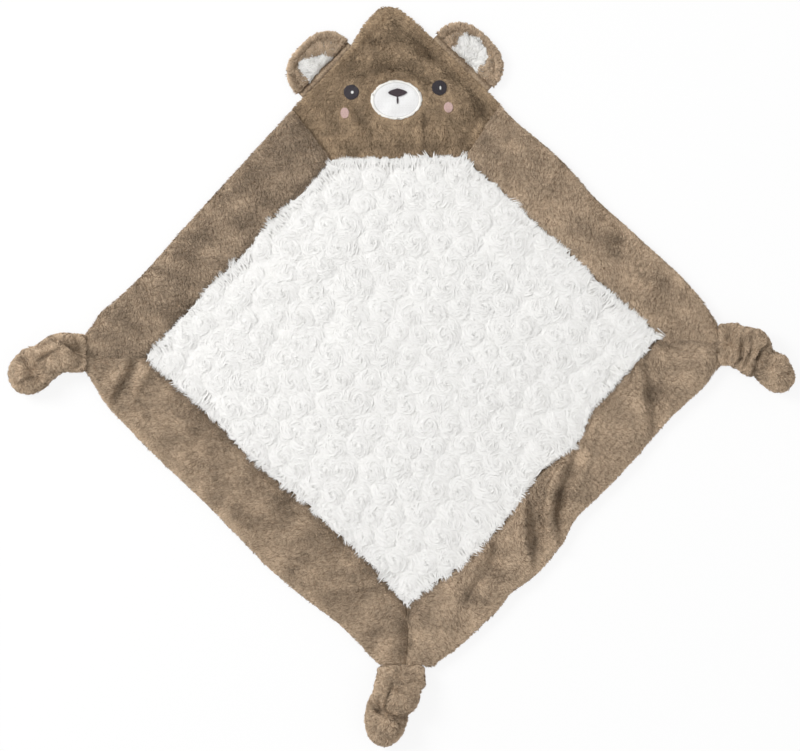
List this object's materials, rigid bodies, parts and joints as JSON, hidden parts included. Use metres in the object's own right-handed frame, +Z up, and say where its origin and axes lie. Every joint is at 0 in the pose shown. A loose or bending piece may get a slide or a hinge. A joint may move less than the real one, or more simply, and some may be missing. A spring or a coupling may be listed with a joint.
{
  "type": "comfort blanket lovey",
  "caption": "Square plush comfort blanket lying flat, one corner a bear's face with folding ears, the other corners tied in knots, curly white centre and brown border.",
  "frame": {"origin": "centre of the blanket's square on the underside that rests on the table", "axes": "+X to the right of a viewer who faces the bear, +Y towards the head's tip, +Z up out of the front"},
  "size_m": [0.5035, 0.4707, 0.0202],
  "materials": {
    "brown_plush": "short pile",
    "back_plush": "short pile",
    "rosette_plush": "curly long pile",
    "ear_plush": "long pile",
    "wadding": "matte",
    "muzzle_thread": "satin stitch",
    "nose_thread": "satin stitch",
    "eye_thread": "satin stitch",
    "highlight_thread": "satin stitch",
    "cheek_thread": "satin stitch"
  },
  "bodies": {
    "blanket": {"back_panel": "back_plush", "center_panel": "rosette_plush", "border_upper_left": "brown_plush", "border_upper_right": "brown_plush", "border_lower_left": "brown_plush", "border_lower_right": "brown_plush", "face_panel": "brown_plush", "head_padding": "wadding", "embroidery_backing": "wadding", "muzzle_patch": "muzzle_thread", "nose": "nose_thread", "mouth_stitch": "nose_thread", "left_eye": "eye_thread", "right_eye": "eye_thread", "left_eye_highlight": "highlight_thread", "right_eye_highlight": "highlight_thread", "left_cheek": "cheek_thread", "right_cheek": "cheek_thread"},
    "left_ear": {"left_ear_back": "back_plush", "left_ear_rim": "brown_plush", "left_ear_inner": "ear_plush"},
    "right_ear": {"right_ear_back": "back_plush", "right_ear_rim": "brown_plush", "right_ear_inner": "ear_plush"},
    "left_knot": {"left_knot": "brown_plush"},
    "right_knot": {"right_knot": "brown_plush"},
    "bottom_knot": {"bottom_knot": "brown_plush"}
  },
  "joints": [
    {"name": "left_ear_fold", "type": "hinge", "parent": "blanket", "child": "left_ear", "pos_m": [-0.04338, 0.18065, 0.00285], "axis": [0.7071, 0.7071, 0], "range_deg": [-80, 80], "stiffness_Nm_per_rad": 0.0006},
    {"name": "right_ear_fold", "type": "hinge", "parent": "blanket", "child": "right_ear", "pos_m": [0.04338, 0.18065, 0.00285], "axis": [0.7071, -0.7071, 0], "range_deg": [-80, 80], "stiffness_Nm_per_rad": 0.0006},
    {"name": "left_knot_fold", "type": "hinge", "parent": "blanket", "child": "left_knot", "pos_m": [-0.2063, 0, 0.0042], "axis": [0, 1, 0], "range_deg": [-90, 50]},
    {"name": "right_knot_fold", "type": "hinge", "parent": "blanket", "child": "right_knot", "pos_m": [0.2063, 0, 0.0042], "axis": [0, -1, 0], "range_deg": [-90, 50]},
    {"name": "bottom_knot_fold", "type": "hinge", "parent": "blanket", "child": "bottom_knot", "pos_m": [0, -0.2063, 0.0042], "axis": [-1, 0, 0], "range_deg": [-90, 50]}
  ]
}
